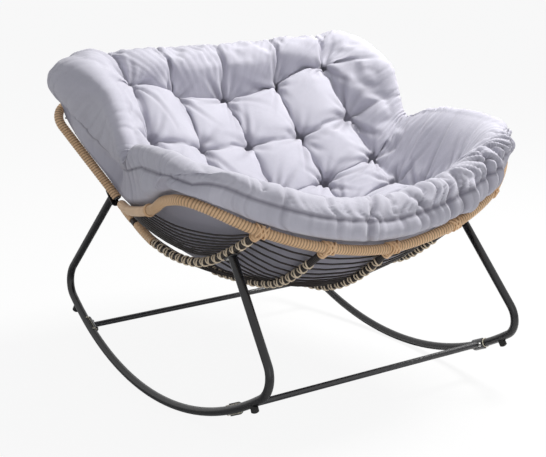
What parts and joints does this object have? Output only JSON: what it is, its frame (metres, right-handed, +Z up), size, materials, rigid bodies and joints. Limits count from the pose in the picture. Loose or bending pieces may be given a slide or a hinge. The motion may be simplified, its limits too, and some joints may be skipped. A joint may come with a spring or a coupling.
{
  "type": "padded rocking chair",
  "caption": "Wide rocking chair: bent steel rockers with crossbars, a rattan-wound basket frame and one thick tufted cushion.",
  "frame": {"origin": "floor point under the middle of the two rockers, at the centre of the chair's footprint", "axes": "+Z up, -Y the way the sitter faces, +X to the sitter's left hand across the seat"},
  "size_m": [1.0778, 1.0622, 0.901],
  "materials": {
    "black_steel": "satin black powder coat",
    "nylon": "translucent cream nylon",
    "zinc": "bright zinc plate",
    "stopper_rubber": "matt black rubber",
    "tan_rattan": "tan resin rattan, fine bands round the tubes",
    "dark_rattan": "dark brown resin rattan",
    "cushion_cloth": "light lavender-grey plain-weave polyester"
  },
  "bodies": {
    "frame": {"rocker_left": "black_steel", "rocker_right": "black_steel", "crossbar_front": "black_steel", "crossbar_rear": "black_steel", "liners_front": "nylon", "liners_rear": "nylon", "crossbar_bolts_front": "zinc", "crossbar_bolts_rear": "zinc", "stoppers_front": "stopper_rubber", "stoppers_rear": "stopper_rubber", "leg_bolts_front": "zinc", "leg_bolts_rear": "zinc", "rim_tube": "black_steel", "rim_winding": "tan_rattan", "arm_wrap_left": "tan_rattan", "arm_wrap_right": "tan_rattan", "side_rail_left": "dark_rattan", "side_rail_right": "dark_rattan", "rail_sleeves_left": "tan_rattan", "rail_sleeves_right": "tan_rattan", "rail_coupling_left": "dark_rattan", "rail_coupling_right": "dark_rattan", "hoop_tube": "black_steel", "hoop_winding": "tan_rattan", "lower_crossrail": "black_steel", "seat_rib_left": "dark_rattan", "seat_rib_centre": "dark_rattan", "seat_rib_right": "dark_rattan", "back_rib_left": "dark_rattan", "back_rib_centre": "dark_rattan", "back_rib_right": "dark_rattan", "strands_side_left": "dark_rattan", "strands_side_right": "dark_rattan", "strands_seat_1": "dark_rattan", "strands_seat_2": "dark_rattan", "strands_seat_3": "dark_rattan", "strands_seat_4": "dark_rattan", "strands_back_1": "dark_rattan", "strands_back_2": "dark_rattan", "strands_back_3": "dark_rattan", "strands_back_4": "dark_rattan"},
    "cushion": {"cushion": "cushion_cloth"}
  },
  "joints": [
    {"name": "cushion_lift", "type": "slide", "parent": "frame", "child": "cushion", "axis": [0, 0, 1], "range_m": [0, 0.4]}
  ]
}
